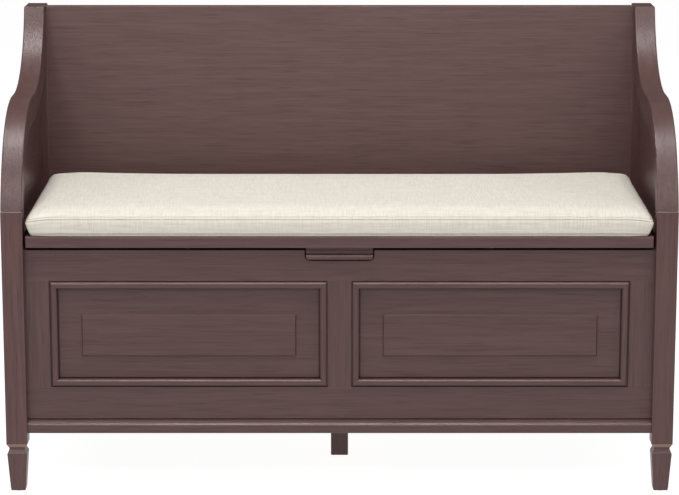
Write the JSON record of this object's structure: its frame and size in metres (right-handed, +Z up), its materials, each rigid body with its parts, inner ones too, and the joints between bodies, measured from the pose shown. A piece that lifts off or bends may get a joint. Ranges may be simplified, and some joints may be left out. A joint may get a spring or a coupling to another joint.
{
  "type": "storage bench",
  "caption": "Indoor storage bench with curved arms, a panelled box, a lid hinged at the back that carries a flat linen cushion, a straight back and tapered feet.",
  "frame": {"origin": "on the floor, under the middle of the bench", "axes": "+X along the bench to the sitter-facing viewer's right, +Y to the back, +Z up"},
  "size_m": [1.11, 0.452, 0.767],
  "materials": {
    "stained_wood": "espresso stain under satin lacquer, fine grain",
    "stained_board": "stained plywood, flat lacquer",
    "plain_wood": "unfinished light wood",
    "hinge_steel": "dull nickel plate",
    "zinc_steel": "bright zinc plate",
    "glide_plastic": "moulded nylon, matt",
    "bumper_rubber": "soft, matt",
    "hook_tape": "woven nylon hook and loop tape",
    "linen": "slub linen weave over foam"
  },
  "bodies": {
    "bench": {"back_bottom_rail": "stained_wood", "back_panel": "stained_wood", "barrel_nuts": "zinc_steel", "base_moulding": "stained_wood", "centre_floor_rail": "plain_wood", "centre_leg": "stained_wood", "centre_stile": "stained_wood", "cleat_screws": "zinc_steel", "foot_glides": "glide_plastic", "frame_bolts": "zinc_steel", "front_bottom_rail": "stained_wood", "front_floor_cleat": "plain_wood", "front_frame_dowels": "plain_wood", "front_top_rail": "stained_wood", "hinge_pins": "hinge_steel", "hinge_rail_leaves": "hinge_steel", "hinge_rail_screws": "zinc_steel", "left_arm": "stained_wood", "left_bottom_side_rail": "stained_wood", "left_front_panel": "stained_wood", "left_front_post": "stained_wood", "left_front_stile": "stained_wood", "left_lower_side_panel": "stained_wood", "left_panel_bottom_bead": "stained_wood", "left_panel_inner_bead": "stained_wood", "left_panel_outer_bead": "stained_wood", "left_panel_top_bead": "stained_wood", "left_rear_post": "stained_wood", "left_seat_side_rail": "stained_wood", "left_upper_side_panel": "stained_wood", "leg_screws": "zinc_steel", "lid_bumpers": "bumper_rubber", "lower_back_panel": "stained_board", "rear_floor_cleat": "plain_wood", "rear_seat_rail": "stained_wood", "right_arm": "stained_wood", "right_bottom_side_rail": "stained_wood", "right_front_panel": "stained_wood", "right_front_post": "stained_wood", "right_front_stile": "stained_wood", "right_lower_side_panel": "stained_wood", "right_panel_bottom_bead": "stained_wood", "right_panel_inner_bead": "stained_wood", "right_panel_outer_bead": "stained_wood", "right_panel_top_bead": "stained_wood", "right_rear_post": "stained_wood", "right_seat_side_rail": "stained_wood", "right_upper_side_panel": "stained_wood", "seat_rail_dowels": "plain_wood", "side_frame_dowels": "plain_wood", "storage_floor": "stained_board"},
    "lid": {"cushion_hook_strips": "hook_tape", "cushion_loop_strips": "hook_tape", "finger_pull": "stained_wood", "finger_pull_screws": "zinc_steel", "hinge_lid_leaves": "hinge_steel", "hinge_lid_screws": "zinc_steel", "lid_board": "stained_wood", "seat_cushion": "linen"}
  },
  "joints": [
    {"name": "lid_hinge", "type": "hinge", "parent": "bench", "child": "lid", "pos_m": [0, 0.148, 0.44], "axis": [-1, 0, 0], "range_deg": [0, 85]}
  ]
}
